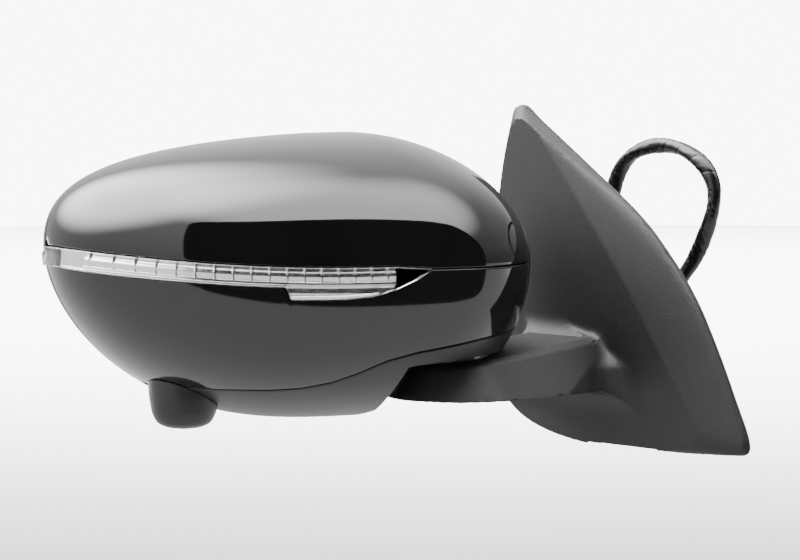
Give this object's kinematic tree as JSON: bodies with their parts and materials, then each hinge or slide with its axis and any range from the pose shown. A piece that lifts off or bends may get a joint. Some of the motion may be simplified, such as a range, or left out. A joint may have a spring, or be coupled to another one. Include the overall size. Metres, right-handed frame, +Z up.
{
  "type": "car side mirror",
  "caption": "Power-folding car door mirror: gloss cap with clear indicator strip, side camera pod, tilting heated glass, grained arm and sail, wiring loop.",
  "frame": {"origin": "on the bracket's flat face where it meets the door, near the middle of the sail", "axes": "+Z up, -Y towards the front of the car, +X into the door, so the head points outboard along -X"},
  "size_m": [0.3183, 0.258, 0.1826],
  "materials": {
    "gloss_black": "high gloss black painted",
    "gloss_grey": "dark grey semi gloss",
    "satin_black": "satin moulded black",
    "grained_black": "fine grained moulded black",
    "black_nylon": "moulded glass-filled nylon",
    "white_acetal": "moulded acetal",
    "black_rubber": "soft black foam and rubber",
    "black_vinyl": "soft glossy vinyl sleeve",
    "cast_metal": "as die-cast",
    "steel": "zinc plated",
    "chrome": "vacuum metallised",
    "clear_lens": "clear moulded with ribs",
    "mirror": "first surface mirror",
    "heater_foil": "printed heater film",
    "board_green": "circuit board",
    "camera_glass": "coated lens"
  },
  "bodies": {
    "base": {"sail_cover": "grained_black", "arm_lower_cover": "grained_black", "base_bracket": "cast_metal", "sail_gasket": "black_rubber", "mount_stud_1": "steel", "mount_stud_2": "steel", "mount_stud_3": "steel", "harness_grommet": "black_rubber", "harness_sleeve": "black_vinyl", "harness_connector": "black_nylon", "pivot_shaft": "steel", "detent_ring": "steel", "fold_wheel": "steel", "shaft_clip": "steel"},
    "head": {"upper_cap": "gloss_black", "lower_cover": "gloss_grey", "bottom_trim": "satin_black", "rear_housing": "satin_black", "pivot_cover": "satin_black", "head_frame": "black_nylon", "indicator_lens": "clear_lens", "indicator_reflector": "chrome", "indicator_board": "board_green", "indicator_housing": "black_nylon", "camera_pod": "satin_black", "camera_body": "black_nylon", "camera_lens": "camera_glass", "actuator_case_front": "black_nylon", "actuator_case_rear": "black_nylon", "pitch_motor": "steel", "yaw_motor": "steel", "case_screw_1": "steel", "case_screw_2": "steel", "case_screw_3": "steel", "fold_case_lower": "cast_metal", "fold_case_upper": "black_nylon", "fold_motor": "steel", "fold_spring": "steel", "spring_cup": "steel", "clutch_ring": "steel", "fold_screw_1": "steel", "fold_screw_2": "steel", "fold_screw_3": "steel"},
    "gimbal": {"gimbal_ring": "white_acetal"},
    "glass": {"glass_holder": "black_nylon", "heater_pad": "heater_foil", "mirror_glass": "mirror"},
    "pitch_plunger": {"pitch_plunger": "white_acetal"},
    "yaw_plunger": {"yaw_plunger": "white_acetal"},
    "pitch_gear": {"pitch_gear": "white_acetal"},
    "yaw_gear": {"yaw_gear": "white_acetal"},
    "pitch_worm": {"pitch_worm": "steel"},
    "yaw_worm": {"yaw_worm": "steel"},
    "fold_worm": {"fold_worm": "steel"}
  },
  "joints": [
    {"name": "fold", "type": "hinge", "parent": "base", "child": "head", "pos_m": [-0.09695, 0.01031, -0.0265], "axis": [0.0872, 0, -0.9962], "range_deg": [-50, 70]},
    {"name": "glass_pitch", "type": "hinge", "parent": "head", "child": "gimbal", "pos_m": [-0.15015, 0.08926, 0.016], "axis": [-0.9397, 0.342, 0], "range_deg": [-8, 8]},
    {"name": "glass_yaw", "type": "hinge", "parent": "gimbal", "child": "glass", "pos_m": [-0.15015, 0.08926, 0.016], "axis": [0, 0, 1], "range_deg": [-8, 8]},
    {"name": "pitch_plunger_slide", "type": "slide", "parent": "head", "child": "pitch_plunger", "axis": [-0.342, -0.9397, 0], "range_m": [-0.0039, 0.0039]},
    {"name": "yaw_plunger_slide", "type": "slide", "parent": "head", "child": "yaw_plunger", "axis": [-0.342, -0.9397, 0], "range_m": [-0.0039, 0.0039]},
    {"name": "pitch_gear_spin", "type": "hinge", "parent": "head", "child": "pitch_gear", "pos_m": [-0.15548, 0.0746, -0.011], "axis": [-0.342, -0.9397, 0], "range_deg": [-345, 345]},
    {"name": "yaw_gear_spin", "type": "hinge", "parent": "head", "child": "yaw_gear", "pos_m": [-0.18085, 0.08384, 0.016], "axis": [-0.342, -0.9397, 0], "range_deg": [-345, 345]},
    {"name": "pitch_worm_spin", "type": "hinge", "parent": "head", "child": "pitch_worm", "pos_m": [-0.15548, 0.0746, 0.0016], "axis": [-0.9397, 0.342, 0], "range_deg": [-2760, 2760]},
    {"name": "yaw_worm_spin", "type": "hinge", "parent": "head", "child": "yaw_worm", "pos_m": [-0.18085, 0.08384, 0.0286], "axis": [-0.9397, 0.342, 0], "range_deg": [-2760, 2760]},
    {"name": "fold_worm_spin", "type": "hinge", "parent": "head", "child": "fold_worm", "pos_m": [-0.1191, 0.01777, -0.00836], "axis": [-0.3407, -0.9397, -0.0298], "range_deg": [-620, 860]}
  ],
  "couplings": [
    {"joint": "pitch_plunger_slide", "follows": "glass_pitch", "m_per_rad": 0.027},
    {"joint": "yaw_plunger_slide", "follows": "glass_yaw", "m_per_rad": 0.027},
    {"joint": "pitch_gear_spin", "follows": "glass_pitch", "ratio": 42.411},
    {"joint": "yaw_gear_spin", "follows": "glass_yaw", "ratio": 42.411},
    {"joint": "pitch_worm_spin", "follows": "glass_pitch", "ratio": -339.29},
    {"joint": "yaw_worm_spin", "follows": "glass_yaw", "ratio": -339.29},
    {"joint": "fold_worm_spin", "follows": "fold", "ratio": 12}
  ]
}
